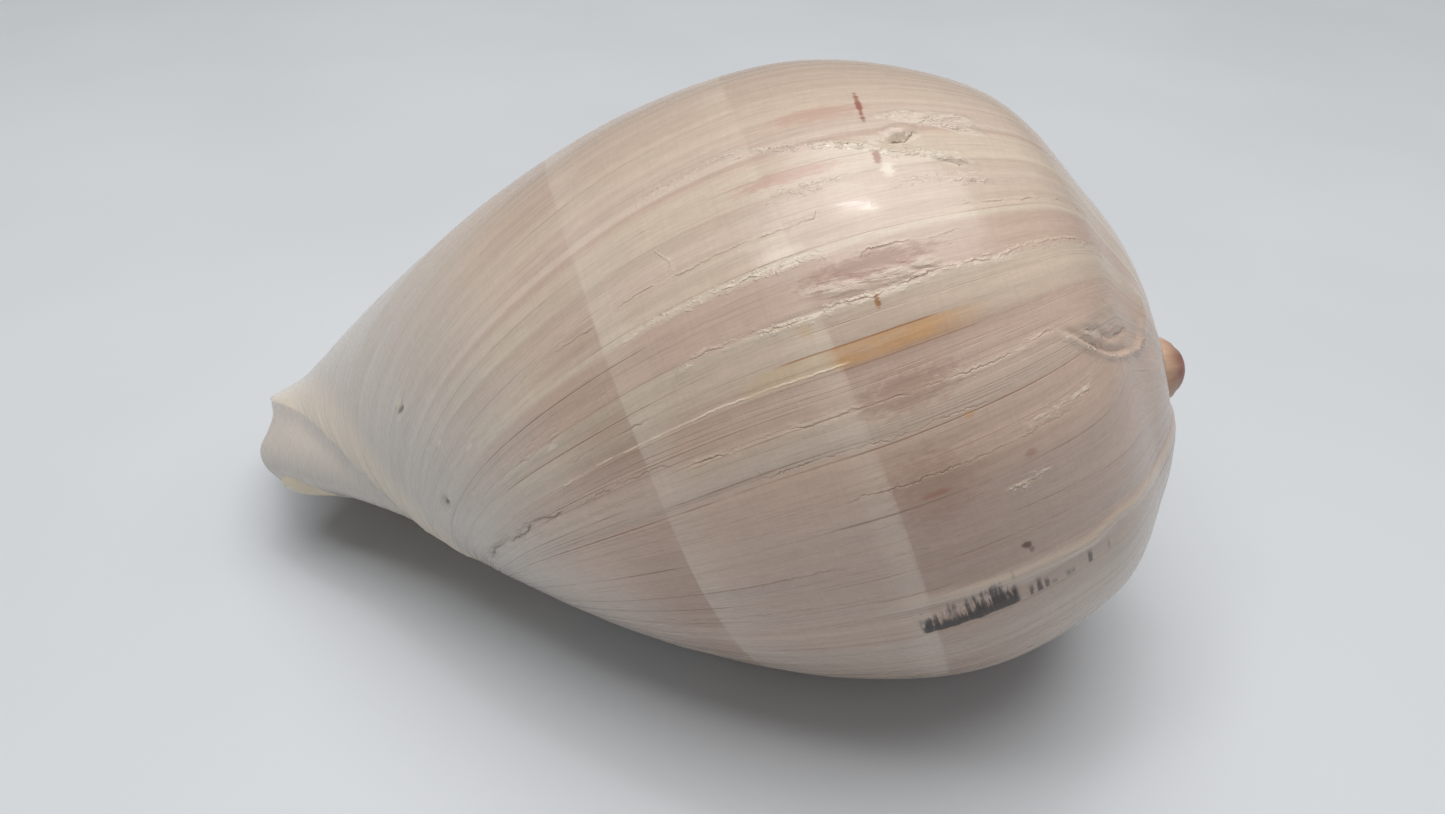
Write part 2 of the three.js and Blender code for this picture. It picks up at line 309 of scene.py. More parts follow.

# Lines of the scars: points as angle about the axis and place, then height, width, darkness and paleness.
# Sunken lines are painted darker, partly painted shade in their grooves, and raised lines paler,
# partly painted highlight and partly pale flakes.
SCAR_LINES = [
    ([(-164.0, 0.381), (-164.8, 0.374), (-166.0, 0.365), (-167.3, 0.352), (-168.0, 0.342), (-168.8, 0.330),
      (-168.9, 0.314), (-168.7, 0.294), (-167.2, 0.262), (-164.0, 0.240)], 0.42, 0.55, 0.0, 0.7),
    ([(-163.3, 0.377), (-164.9, 0.363), (-166.4, 0.347), (-167.2, 0.333), (-167.4, 0.315), (-167.2, 0.297)],
     -0.5, 0.6, 0.45, 0.0),
    ([(-163.0, 0.357), (-163.0, 0.346), (-162.2, 0.337)], -0.4, 0.5, 0.85, 0.2),
    ([(-163.5, 0.334), (-165.2, 0.335), (-167.2, 0.344)], -0.35, 0.5, 0.7, 0.2),
    ([(-163.5, 0.330), (-164.5, 0.321), (-163.5, 0.304), (-161.8, 0.288)], -0.4, 0.5, 0.85, 0.2),
    ([(-167.2, 0.262), (-162.0, 0.234), (-156.2, 0.213), (-147.5, 0.207)], 0.4, 1.2, 0.0, 0.0),
    # Crevice under the lump: a groove painted dark, which is painted shade.
    ([(-128.0, 0.4675), (-127.8, 0.460), (-127.5, 0.4538), (-126.2, 0.4488)], -0.65, 0.45, 0.97, 0.2),
    ([(-122.0, 0.466), (-120.0, 0.451), (-120.0, 0.439), (-120.5, 0.426), (-118.3, 0.411)],
     0.32, 0.5, 0.25, 0.9),
    ([(-123.8, 0.446), (-121.8, 0.434), (-122.5, 0.421), (-121.5, 0.404)], 0.32, 0.5, 0.25, 0.9),
    ([(-129.8, 0.471), (-130.5, 0.466), (-130.8, 0.4575), (-130.0, 0.4475), (-130.5, 0.435), (-131.5, 0.420)],
     0.32, 0.55, 0.2, 0.9),
    ([(-135.5, 0.4275), (-134.3, 0.416), (-134.8, 0.410)], 0.3, 0.5, 0.0, 0.8),
    ([(-126.3, 0.578), (-126.8, 0.562), (-127.3, 0.546), (-128.2, 0.520), (-128.3, 0.501), (-129.3, 0.478)],
     0.4, 0.5, 0.2, 0.9),
    ([(-140.5, 0.628), (-142.2, 0.624), (-143.8, 0.623), (-144.3, 0.628)], -0.15, 0.4, 0.3, 0.3),
    ([(-197.0, 0.916), (-191.5, 0.899), (-189.0, 0.881), (-186.0, 0.864), (-186.8, 0.860), (-186.2, 0.850),
      (-184.0, 0.835), (-182.0, 0.825), (-181.0, 0.815), (-181.0, 0.800), (-179.5, 0.782)],
     -0.6, 0.55, 0.97, 0.5),
]

# Steps of the surfaces: stretches of growth and of place with a step each, and counts of rows and sides.
GROWTH_STEPS = [
    (-360, -250, 1.5), (-250, -212, 1.0), (-212, -108, 0.43), (-108, -92, 0.7), (-92, -6, 1.1),
    (-6, -1.2, 0.6),
]
LIP_STEPS = [-1.2, -0.8, -0.5, -0.3, -0.15, -0.05, 0.0]
PLACE_STEPS = [
    (0.0, 0.22, 0.0138), (0.22, 0.39, 0.0052), (0.39, 0.49, 0.004), (0.49, 0.87, 0.0115), (0.87, 0.93, 0.006),
    (0.93, 1.0, 0.01), (1.0, 2.0, 0.048),
]
LIP_FACE_ROWS = 4
OLDER_STEP = 4.0
OLDER_ROWS = (48, 8)
FAR_FROM_LIP = 90
HOLLOW_START = -470
HOLLOW_STEP = 4.0
HOLLOW_NEAR_LIP = (-5, -3.5, -2.2)
HOLLOW_END = (2.5, 7.0)
HOLLOW_POINTS = (34, 20, 30)
COLUMELLA_STEPS = 90
COLUMELLA_SIDES = 40
PROTOCONCH_STEPS = (48, 24)


def body_lag(p):
    """Lag at a place, which runs from 0 to 1 on the body and from 1 to 2 on the fasciole."""
    return sweep(np.minimum(p, 1)) - SWEEP_NOTCH * np.clip(p - 1, 0, 1)


def outside_points(growth, p):
    """Smooth points of the outside for growth and places."""
    angle = growth + body_lag(p)
    wear = smooth(angle, *FASCIOLE_WEAR)[..., None]
    fasciole = curve(OLD_FASCIOLE_OUTLINE, p - 1) * (1 - wear) + curve(FASCIOLE_OUTLINE, p - 1) * wear
    outline = np.where((p <= 1)[..., None], curve(BODY_OUTLINE, p), fasciole)
    flare = np.where(p <= 1, smooth(p, FLARE_START, 1), 1 - smooth(p - 1, 0, FLARE_END))
    flare = flare * bell(growth / FLARE_SPAN)
    return grow(angle, outline + flare[..., None] * np.array(FLARE))


def normals(points):
    """Unit normals of a lattice of points."""
    along, across = np.gradient(points, axis=0), np.gradient(points, axis=1)
    n = np.cross(along, across)
    return n / np.maximum(np.linalg.norm(n, axis=-1, keepdims=True), 1e-9)


def line_growth(growth, p):
    """Growth that is equal all along one growth line."""
    low, high = LINE_LEAD_PLACES
    rise = np.clip((high - p) / (high - low), 0, 1) ** 2 * smooth(p, 0, 0.2)
    return growth - LINE_LEAD * rise * hump(growth, *LINE_LEAD_AGES)


def across(a, b, along, width):
    """Ellipse distance, 1 on the rim, for offsets in millimetres."""
    return np.sqrt((a / along) ** 2 + (b / width) ** 2)


class Surface:
    """The outside as a lattice: growth along the first axis and place along the second."""

    def __init__(self, growth, places):
        self.growth, self.place = np.meshgrid(growth, places, indexing="ij")
        self.points = outside_points(self.growth, self.place)
        self.normals = normals(self.points)
        self.turned = self.growth + body_lag(self.place) + LIP_ANGLE
        self.lines = line_growth(self.growth, self.place)
        radius = np.hypot(self.points[..., 1], self.points[..., 2])
        self.mm_per_degree = np.radians(radius)
        step = np.linalg.norm(np.gradient(self.points, axis=1), axis=-1)
        self.mm_per_place = step / np.gradient(self.place, axis=1)

    def offsets(self, turned, place):
        """Distances in millimetres from a point, along growth and along place."""
        return (self.turned - turned) * self.mm_per_degree, (self.place - place) * self.mm_per_place

    def path_distance(self, path):
        """Distance in millimetres from a line through points, with a sign for its two sides."""
        nearest = np.full_like(self.place, 1e3)
        for (turned, place), (next_turned, next_place) in zip(path, path[1:]):
            a, b = self.offsets(turned, place)
            along = (next_turned - turned) * self.mm_per_degree
            width = (next_place - place) * self.mm_per_place
            share = np.clip((a * along + b * width) / (along ** 2 + width ** 2), 0, 1)
            gap = np.hypot(a - share * along, b - share * width) * np.where(along * b < width * a, -1, 1)
            nearest = np.where(np.abs(gap) < np.abs(nearest), gap, nearest)
        return nearest

    def grown_offsets(self, growth, place):
        """The same, for a point given by its growth."""
        return (self.growth - growth) * self.mm_per_degree, (self.place - place) * self.mm_per_place


class Marks:
    """Relief of the outside, how chalky it is, and the nearest line mark with its darkness and paleness,
    partly real lines and flakes, partly painted shade and painted highlight.
    """

    def __init__(self, shape):
        self.relief, self.chalk, self.dark, self.pale = np.zeros((4, *shape))
        self.distance = np.full(shape, FAR_MARK[0])

    def draw(self, distance, dark, pale):
        """Adds a line mark where it is the nearest one."""
        closer = (np.abs(distance) < np.abs(self.distance)) & (np.abs(dark) + pale > 0.02)
        fade = 1 - smooth(np.abs(distance), 0.7 * LINE_REACH, LINE_REACH)
        self.distance = np.where(closer, distance, self.distance)
        self.dark = np.where(closer, dark * fade, self.dark)
        self.pale = np.where(closer, pale * fade, self.pale)


def add_breaks(surface, marks):
    """Mended breaks: low steps along the growth lines, which face up where they are high."""
    p = surface.place
    older_reach, younger_reach = BREAK_SIDES
    for number, (growth, start, end, step, darkness, paleness, waviness) in enumerate(BREAKS):
        wobble = sum(0.4 * noise(p * waves, seed=number + seed) for waves, seed in BREAK_WAVES)
        d = (surface.lines - growth) * surface.mm_per_degree + waviness * wobble
        strength = window(p, start, end, BREAK_FADE) * (0.75 + 0.35 * noise(p * 30, seed=number + 90))
        older = np.exp(np.minimum(d, 0) / older_reach) * smooth(-d, -BREAK_EDGE, BREAK_EDGE)
        younger = np.exp(-np.maximum(d, 0) / younger_reach) * smooth(d, -BREAK_EDGE, BREAK_EDGE)
        marks.relief += step * strength * (0.6 * older - 0.5 * younger)
        # Dark and pale line of the break: partly real, partly painted shadow and painted highlight.
        marks.draw(d, darkness * strength, paleness * strength)


def add_scars(surface, marks):
    """Lump with a crevice painted dark, which is painted shade, chalky flakes, pits, and a folded crease on
    the shoulder; grooves partly painted shade, raised lines partly painted highlight.
    """
    rough = noise(surface.turned * 1.1, surface.place * 220, seed=3)
    flaky = noise(surface.turned * 1.9, surface.place * 60, seed=5)
    for turned, place, along, width in CHALK:
        a, b = surface.offsets(turned, place)
        marks.chalk = np.maximum(marks.chalk, 1 - smooth(across(a, b, along, width) + 0.3 * rough, 0.6, 1.2))
    marks.relief += marks.chalk * (0.1 + 0.2 * flaky)
    turned, place, along, width = LUMP
    a, b = surface.offsets(turned, place)
    rim = across(a + 0.2 * b, b, along, width) + 0.12 * rough
    marks.relief += LUMP_HEIGHT * (1 - smooth(rim, 0.45, 1.05))
    for growth, place, radius, depth in PITS:
        rim = across(*surface.grown_offsets(growth, place), radius, radius)
        marks.relief += depth * (0.3 * bell((rim - 1.35) / 0.35) - 1 + smooth(rim, 0.2, 1.1))
    a, b = surface.offsets(*CREASE_MIDDLE)
    marks.relief -= CREASE_DEPTH * (1 - smooth(np.hypot(a, b) + rough, 2.5, 6.5))
    for path, height, width, darkness, paleness in SCAR_LINES:
        d = surface.path_distance(path)
        marks.relief += height * bell(d / width)
        # Dark and pale line of the scar: partly real, partly painted shade in grooves and painted highlight
        # on ridges.
        marks.draw(d, np.full_like(d, darkness), np.full_like(d, paleness))


def lip_distance(surface):
    """Distance in millimetres from the former lip, negative on its older side."""
    return (surface.growth - np.interp(surface.place, *zip(*FORMER_LIP))) * surface.mm_per_degree


def former_lip(surface):
    """Relief of the former lip and of the swollen shoulder behind it."""
    p = surface.place
    d = lip_distance(surface)
    along = window(p, *FORMER_LIP_PLACES, 0.05)
    ridge = FORMER_LIP_RIDGE * bell(d / 1.1) * along
    behind = smooth(-d, -0.4, 2.5) * smooth(surface.growth, -320, -262)
    shoulder = hump(p, 0.0, 0.07, 0.24, 0.42) + 0.12 * (1 - smooth(p, 0.4, 0.6))
    return ridge + SWELLING * behind * shoulder


def growth_relief(surface):
    """Low ridges along the growth lines and slow waves of the surface."""
    g, p = surface.lines, surface.place
    worn = 1 - 0.75 * window(g, *WORN_BACK) * (1 - smooth(p, *WORN_PLACES))
    relief = np.zeros_like(g)
    for number, (height, length, changes) in enumerate(GROWTH_WAVES):
        wave = height * noise(g / length, p * changes, seed=11 + number)
        relief += wave * worn if number else wave
    return relief * (1 - 0.65 * smooth(p, 1.0, 1.25)) * (0.45 + 0.55 * smooth(p, 0.3, 0.5))


def lip_round(points, radius):
    """How far the surface turns in near its last column, as a quarter round of that radius."""
    last = points[-1]
    tangent = np.gradient(last, axis=0)
    tangent /= np.linalg.norm(tangent, axis=-1, keepdims=True)
    offset = points - last
    offset -= (offset * tangent).sum(-1, keepdims=True) * tangent
    distance = np.linalg.norm(offset, axis=-1)
    return radius - np.sqrt(np.maximum(radius ** 2 - np.clip(radius - distance, 0, radius) ** 2, 0))


def band_place(surface, band):
    """Place measured from the front edge of a pale band."""
    place, lowest, bend, _ = band
    away = (surface.growth - lowest) / BAND_BEND_LIMIT
    return surface.place - place - bend * BAND_BEND_LIMIT ** 2 * (1 - bell(away))


def rest_matrix():
    """Turn of the shell's own frame onto the floor."""
    roll, pitch = math.radians(REST_ROLL), math.radians(REST_PITCH)
    return np.array((Matrix.Rotation(pitch, 3, "Y") @ Matrix.Rotation(roll, 3, "X")))


def make_body(name, points, faces, values, material):
    """A closed mesh with values at its face corners."""
    mesh = bpy.data.meshes.new(name)
    mesh.from_pydata(points.tolist(), [], faces)
    mesh.materials.append(material)
    corners = np.empty(len(mesh.loops), np.int32)
    mesh.loops.foreach_get("vertex_index", corners)
    for key, array in values.items():
        layer = mesh.attributes.new(key, "FLOAT_VECTOR", "CORNER")
        layer.data.foreach_set("vector", array[corners].astype(np.float32).ravel())
    body = bpy.data.objects.new(name, mesh)
    bpy.context.scene.collection.objects.link(body)
    return body


def lattice_faces(rows, columns, loop_rows, loop_columns):
    """Quads of a lattice of points that may close on itself along either axis."""
    i = np.arange(rows if loop_rows else rows - 1)
    j = np.arange(columns if loop_columns else columns - 1)
    i, j = np.meshgrid(i, j, indexing="ij")
    down, right = (i + 1) % rows, (j + 1) % columns
    quads = [i * columns + j, down * columns + j, down * columns + right, i * columns + right]
    return np.stack(quads, -1).reshape(-1, 4).tolist()


def tube_faces(rings, width):
    """Quads of a closed tube, with a face at each end."""
    ends = [list(range(width)), [(rings - 1) * width + i for i in reversed(range(width))]]
    return lattice_faces(rings, width, False, True) + ends


def closed_shell(lattice, face_rows):
    """The filled shape under a lattice, closed by a lip face and two axis points, and how many it adds."""
    last, first = lattice[-1], lattice[0]
    steps = np.linspace(0, 1, face_rows + 2)[1:-1, None, None]
    rows = np.concatenate([lattice, last * (1 - steps) + first * steps])
    count, width = rows.shape[:2]
    ends = np.array([[-APEX_POINT, 0, 0], [-COLUMELLA_POINT, 0, 0]])
    points = np.concatenate([rows.reshape(-1, 3), ends])
    quads = lattice_faces(count, width, True, False)
    start, end = count * width, count * width + 1
    row = np.arange(count) * width
    following = (np.arange(count) + 1) % count * width
    fans = [[start, b, a] for a, b in zip(row, following)]
    fans += [[end, a + width - 1, b + width - 1] for a, b in zip(row, following)]
    return points, quads + fans, face_rows * width + 2


def stored(growth_place, line_marks=FAR_MARK, zones=(0, 0, 0), extra=0):
    """Values for the points of a mesh, followed by zeros for the extra points that close it."""
    shape = np.broadcast_shapes(*map(np.shape, growth_place))
    values = {"growth_place": growth_place, "line_marks": line_marks, "zones": zones}
    for name, parts in values.items():
        flat = np.stack([np.broadcast_to(part, shape) for part in parts], -1).reshape(-1, 3)
        values[name] = np.concatenate([flat, np.zeros((extra, 3))])
    return values


def growth_columns():
    """Growth of the columns of the outside, finest on the back."""
    parts = [np.arange(start, end - 1e-6, step) for start, end, step in GROWTH_STEPS]
    return np.concatenate(parts + [LIP_STEPS])


def place_rows():
    """Places of the rows of the outside, finest at the scars."""
    parts = []
    for start, end, step in PLACE_STEPS:
        parts.append(np.linspace(start, end, round((end - start) / step), endpoint=False))
    return np.concatenate(parts + [[2.0]])


def make_outside():
    """The last turn with all its relief."""
    surface = Surface(growth_columns(), place_rows())
    marks = Marks(surface.place.shape)
    add_breaks(surface, marks)
    add_scars(surface, marks)
    relief = marks.relief + growth_relief(surface) + former_lip(surface)
    relief *= hump(surface.growth, *RELIEF_GROWTH)
    relief *= hump(surface.place, *RELIEF_PLACES)
    relief -= lip_round(surface.points, LIP_ROUND) * (1 - smooth(surface.place, 1.3, 1.8))
    points, faces, extra = closed_shell(surface.points + relief[..., None] * surface.normals, LIP_FACE_ROWS)
    growth_place = surface.lines, surface.place, lip_distance(surface)
    zones = band_place(surface, BAND_1), band_place(surface, BAND_2), marks.chalk
    values = stored(growth_place, (marks.distance, marks.dark, marks.pale), zones, extra)
    return points, faces, values, surface.points


def make_older_turn():
    """The turn before, which shows only in the spire."""
    body_rows, fasciole_rows = OLDER_ROWS
    places = np.concatenate([np.linspace(0, 1, body_rows + 1), 1 + np.linspace(0, 1, fasciole_rows + 1)[1:]])
    surface = Surface(np.arange(-360, 0.1, OLDER_STEP), places)
    points, faces, extra = closed_shell(surface.points, LIP_FACE_ROWS)
    zones = band_place(surface, BAND_1), band_place(surface, BAND_2), 0
    values = stored((surface.lines - 360, surface.place, FAR_FROM_LIP), zones=zones, extra=extra)
    return points * OLDER_TURN_FIT / WHORL_RATIO, faces, values


def hollow_rings():
    """Growth of the rings of the hollow, close together at the lip, and the places round a ring."""
    deep = np.arange(HOLLOW_START, -6, HOLLOW_STEP)
    growth = np.concatenate([deep, HOLLOW_NEAR_LIP, LIP_STEPS, HOLLOW_END])
    outer, front, inner = HOLLOW_POINTS
    s_outer = np.linspace(*HOLLOW_OUTER, outer)
    s_inner = np.linspace(*HOLLOW_INNER, inner)
    t_front = np.linspace(0, 1, front + 2)[1:-1]
    lag_front = sweep(s_outer[-1]) + t_front * (sweep(s_inner[0]) - sweep(s_outer[-1]))
    lag = np.concatenate([sweep(s_outer), lag_front, sweep(s_inner)])
    return growth, s_outer, t_front, s_inner, lag


def make_hollow():
    """The space that the animal lived in, wound back from the mouth."""
    growth, s_outer, t_front, s_inner, lag = hollow_rings()
    angle = growth[:, None] + lag[None, :]
    a, b = len(s_outer), len(s_outer) + len(t_front)
    taper = smooth(-growth, 0, LIP_TAPER)[:, None]
    wall = LIP_EDGE + (WALL - LIP_EDGE) * taper
    body = curve(BODY_OUTLINE, s_outer)
    normal = outward(BODY_OUTLINE, s_outer)
    edge = grow(angle[:, :a], np.broadcast_to(body, (len(growth), a, 2)))
    lip = len(growth) - len(HOLLOW_END)
    turn_in = np.full((len(growth), a), LIP_ROUND)
    turn_in[:lip] = lip_round(edge[:lip], LIP_ROUND)
    outer = body[None] - (wall - turn_in)[..., None] * normal[None]
    openness = smooth(angle[:, a:b], *FRONT_OPENS)[..., None]
    front = curve(CLOSED_FRONT, t_front) * (1 - openness) + curve(OPEN_FRONT, t_front) * openness
    inner = curve(BODY_OUTLINE, s_inner) / WHORL_RATIO + GLAZE * outward(BODY_OUTLINE, s_inner)
    inner = np.broadcast_to(inner, (len(growth), len(s_inner), 2))
    sections = np.concatenate([outer, front, inner], 1)
    points = grow(angle, sections)
    place = np.concatenate([s_outer, 1 + t_front, 3 - s_inner])
    values = stored((growth[:, None], place, angle + LIP_ANGLE))
    return points.reshape(-1, 3), tube_faces(*points.shape[:2]), values


def fold_height(u, turn):
    """Height of the spiral folds on the columella."""
    phase = np.log(u) / np.log(WHORL_RATIO) + turn
    ridges = 0
    for place in FOLD_PHASES:
        distance = np.abs((phase - place + 0.5) % 1 - 0.5)
        ridges = ridges + bell(distance / FOLD_WIDTH)
    return FOLD_HEIGHT * ridges * hump(u, *FOLD_RANGE)


def make_columella():
    """The twisted pillar with its folds."""
    t = np.linspace(0, 1, COLUMELLA_STEPS + 1)
    u, radius = curve(COLUMELLA_RADII, t).T
    turn = np.arange(1, COLUMELLA_SIDES + 1) / COLUMELLA_SIDES
    reach = radius[:, None] + fold_height(u[:, None], turn[None])
    lean = smooth(u, *COLUMELLA_LEAN)[:, None]
    angle = 2 * np.pi * turn[None]
    y = reach * np.cos(angle) + lean * COLUMELLA_TIP[0]
    z = reach * np.sin(angle) + lean * COLUMELLA_TIP[1]
    x = np.broadcast_to(-u[:, None], y.shape)
    points = np.stack([x, y, z], -1)
    return points.reshape(-1, 3), tube_faces(*y.shape), stored((u[:, None], turn, 0))


def make_protoconch():
    """Rounded knob of the first whorls with a shallow spiral seam."""
    sides, rows = PROTOCONCH_STEPS
    polar = np.linspace(0, np.pi, rows + 1)[1:-1, None]
    turn = np.arange(sides)[None] / sides
    angle = 2 * np.pi * turn
    seam = np.abs((polar / np.pi * SEAM_TURNS - turn) % 1 - 0.5)
    scale = 1 - SEAM_DEPTH * bell(seam / SEAM_WIDTH) * smooth(polar, *SEAM_START)
    x = PROTOCONCH_LENGTH * np.cos(polar) * scale - PROTOCONCH_BASE
    y = PROTOCONCH_RADIUS * np.sin(polar) * np.cos(angle) * scale + PROTOCONCH_LEAN[0]
    z = PROTOCONCH_RADIUS * np.sin(polar) * np.sin(angle) * scale + PROTOCONCH_LEAN[1]
    points = np.stack([np.broadcast_to(x, y.shape), y, z], -1).reshape(-1, 3)
    reach = np.array([PROTOCONCH_LENGTH, -PROTOCONCH_LENGTH]) - PROTOCONCH_BASE
    tips = np.array([[x_tip, *PROTOCONCH_LEAN] for x_tip in reach])
    faces = lattice_faces(rows - 1, sides, False, True)
    near, far, last = len(points), len(points) + 1, (rows - 2) * sides
    faces += [[near, i, (i + 1) % sides] for i in range(sides)]
    faces += [[far, last + (i + 1) % sides, last + i] for i in range(sides)]
    points = np.concatenate([points, tips])
    share = np.concatenate([np.broadcast_to(polar / np.pi, y.shape).ravel(), [0, 1]])
    turns = np.concatenate([np.broadcast_to(turn, y.shape).ravel(), [0, 0]])
    return points, faces, stored((share, turns, 0))


class Graph:
    """Short names for the shader nodes of one material."""

    def __init__(self, name):
        self.material = bpy.data.materials.new(name)
        self.material.use_nodes = True
        self.tree = self.material.node_tree
        self.shader = self.tree.nodes["Principled BSDF"]
        self.colour = None

    def put(self, socket, value):
        """Links a socket to another one, or sets its value."""
        if isinstance(value, bpy.types.NodeSocket):
            self.tree.links.new(value, socket)
        else:
            socket.default_value = value

    def node(self, kind, inputs, **settings):
        """A new node with its settings, and its inputs by number or name."""
        node = self.tree.nodes.new("ShaderNode" + kind)
        for key, value in settings.items():
            setattr(node, key, value)
        for key, value in inputs.items():
            self.put(node.inputs[key], value)
        return node

    def attribute(self, name):
        """The three parts of a stored value."""
        whole = self.node("Attribute", {}, attribute_name=name).outputs["Vector"]
        return self.node("SeparateXYZ", {0: whole}).outputs[:]

    def math(self, operation, *values):
        return self.node("Math", dict(enumerate(values)), operation=operation).outputs[0]

    def add(self, a, b):
        return self.math("ADD", a, b)

    def minus(self, a, b):
        return self.math("SUBTRACT", a, b)

    def times(self, *values):
        result = values[0]
        for value in values[1:]:
            result = self.math("MULTIPLY", result, value)
        return result

    def step(self, value, low, high, start=0.0, end=1.0, interpolation="SMOOTHSTEP"):
        """Step of a value from start to end between low and high."""
        given = dict(enumerate((value, low, high, start, end)))
        return self.node("MapRange", given, interpolation_type=interpolation).outputs[0]

    def fall(self, value, low, high):
        """Step of a value from 1 to 0 between low and high."""
        return self.step(value, low, high, 1.0, 0.0)

    def spread(self, value, start, end):
        """Noise spread between start and end."""
        return self.step(value, 0.3, 0.7, start, end)

    def band(self, value, low, high, fade):
        """1 between low and high, with soft edges."""
        return self.times(self.step(value, low - fade, low), self.step(value, high, high + fade, 1.0, 0.0))

    def vector(self, x, y, z=0.0):
        return self.node("CombineXYZ", {0: x, 1: y, 2: z}).outputs[0]

    def distance(self, vector, middle, radii):
        """Ellipse distance of a vector from a middle, 1 on the rim."""
        scale = (1 / radii[0], 1 / radii[1], 0.0)
        centre = (middle[0] / radii[0], middle[1] / radii[1], 0.0)
        scaled = self.node("VectorMath", {0: vector, 1: scale}, operation="MULTIPLY").outputs["Vector"]
        return self.node("VectorMath", {0: scaled, 1: centre}, operation="DISTANCE").outputs["Value"]

    def noise(self, vector, detail=2.0, roughness=0.5):
        given = {"Vector": vector, "Scale": 1.0, "Detail": detail, "Roughness": roughness}
        return self.node("TexNoise", given).outputs["Fac"]

    def cloud(self, growth, s, along, over, seed, detail=2.0, roughness=0.5):
        """Noise with its changes for each degree of growth and for each millimetre of place."""
        vector = self.vector(self.times(growth, along), self.times(s, over), seed)
        return self.noise(vector, detail, roughness)

    def white(self, value, seed):
        """A random number between 0 and 1 for each whole number."""
        given = {"W": self.add(value, seed + 0.37)}
        return self.node("TexWhiteNoise", given, noise_dimensions="1D").outputs["Value"]

    def strip(self, value, width):
        """Whole number of the strip that a value lies in."""
        return self.math("FLOOR", self.times(value, 1 / width))

    def growth_lines(self, grown, s, spacing, thickness, seed):
        """Thin lines, one in each strip of growth, of random strength and broken along their length."""
        line = self.strip(grown, spacing)
        middle = self.add(0.5, self.times(self.minus(self.white(line, seed), 0.5), 0.7))
        offset = self.minus(self.times(grown, 1 / spacing), self.add(line, middle))
        away = self.times(self.math("ABSOLUTE", offset), spacing)
        strength = self.step(self.white(line, seed + 20.0), 0.25, 1.0)
        pieces = self.noise(self.vector(self.times(s, 0.03), self.times(line, 7.7), seed), 3.0, 0.6)
        shown = self.step(pieces, 0.42, 0.58)
        return self.times(self.step(away, 0.3 * thickness, thickness, 1.0, 0.0), strength, shown)

    def mix(self, factor, a, b, blend="MIX"):
        given = {"Factor": factor, 6: a, 7: b}
        return self.node("Mix", given, data_type="RGBA", blend_type=blend).outputs[2]

    def paint(self, colour, *factors):
        """Mixes a colour over the material's own, by the product of some factors."""
        self.colour = self.mix(self.times(*factors), self.colour, colour)

    def ramp(self, value, stops):
        """Colour that changes along a value, from stops given as value and colour in rising order."""
        low, high = stops[0][0], stops[-1][0]
        node = self.node("ValToRGB", {0: self.step(value, low, high, interpolation="LINEAR")})
        elements = node.color_ramp.elements
        elements[0].color, elements[1].color = stops[0][1], stops[-1][1]
        for place, colour in stops[1:-1]:
            elements.new((place - low) / (high - low)).color = colour
        return node.outputs[0]

    def shade(self, colour, amount):
        """A colour made lighter or darker by a number near 1."""
        return self.mix(1.0, colour, self.grey(amount), "MULTIPLY")

    def grey(self, value):
        return self.node("CombineColor", {0: value, 1: value, 2: value}).outputs[0]

    def bump(self, height, distance):
        return self.node("Bump", {"Height": height, "Distance": distance}).outputs["Normal"]

    def gloss(self, weight, roughness):
        """A thin clear gloss over the surface."""
        self.shader.inputs["Specular IOR Level"].default_value = 0.36
        self.shader.inputs["Coat Weight"].default_value = weight
        self.shader.inputs["Coat Roughness"].default_value = roughness

    def finish(self, colour, roughness, normal):
        self.put(self.shader.inputs["Base Color"], colour)
        self.put(self.shader.inputs["Roughness"], roughness)
        self.put(self.shader.inputs["Normal"], normal)
        self.put(self.shader.inputs["Coat Normal"], normal)
        return self.material


def tone(red, green, blue):
    """Colour from its screen values between 0 and 255."""
    parts = [c / 255 for c in (red, green, blue)]
    linear = [c / 12.92 if c <= 0.04045 else ((c + 0.055) / 1.055) ** 2.4 for c in parts]
    return (*linear, 1.0)


BEIGE = tone(213, 193, 173)
CREAM = tone(222, 205, 184)
YELLOW_CREAM = tone(217, 199, 178)
PINK_BEIGE = tone(210, 184, 166)
PALE_PINK = tone(219, 199, 182)
GREY_BEIGE = tone(200, 185, 171)
MAUVE_BEIGE = tone(199, 180, 168)
PALE_BAND = tone(223, 209, 193)
MAUVE_BROWN = tone(176, 147, 130)
PINK_STAIN = tone(198, 160, 143)
PATCH_BROWN = tone(166, 130, 113)
UMBER_AND_SHADE = tone(122, 86, 60)
LINE_TAN = tone(150, 110, 74)
LINE_GREY = tone(116, 94, 80)
CHALK_WHITE = tone(238, 225, 205)
PALE_LINE_AND_HIGHLIGHT = tone(244, 230, 206)
YELLOW_TAN = tone(210, 184, 150)
ORANGE_TAN = tone(206, 158, 106)
DEEP_ORANGE = tone(158, 100, 46)
RUST = tone(150, 82, 64)
COMB_BROWN = tone(48, 40, 38)
SPOT_BROWN = tone(92, 66, 56)
FRONT_GREY = tone(207, 200, 192)
RIDGE_CREAM = tone(231, 217, 196)
INSIDE_APRICOT = tone(224, 186, 140)
INSIDE_CREAM = tone(236, 220, 196)
INSIDE_PALE = tone(228, 214, 190)
INSIDE_PEACH = tone(232, 204, 170)
PILLAR_CREAM = tone(236, 212, 178)
PILLAR_APRICOT = tone(224, 184, 138)
PILLAR_TIP = tone(222, 208, 182)
KNOB_TAN = tone(214, 180, 152)
KNOB_BROWN = tone(150, 96, 80)
FLOOR_GREY = tone(214, 217, 220)

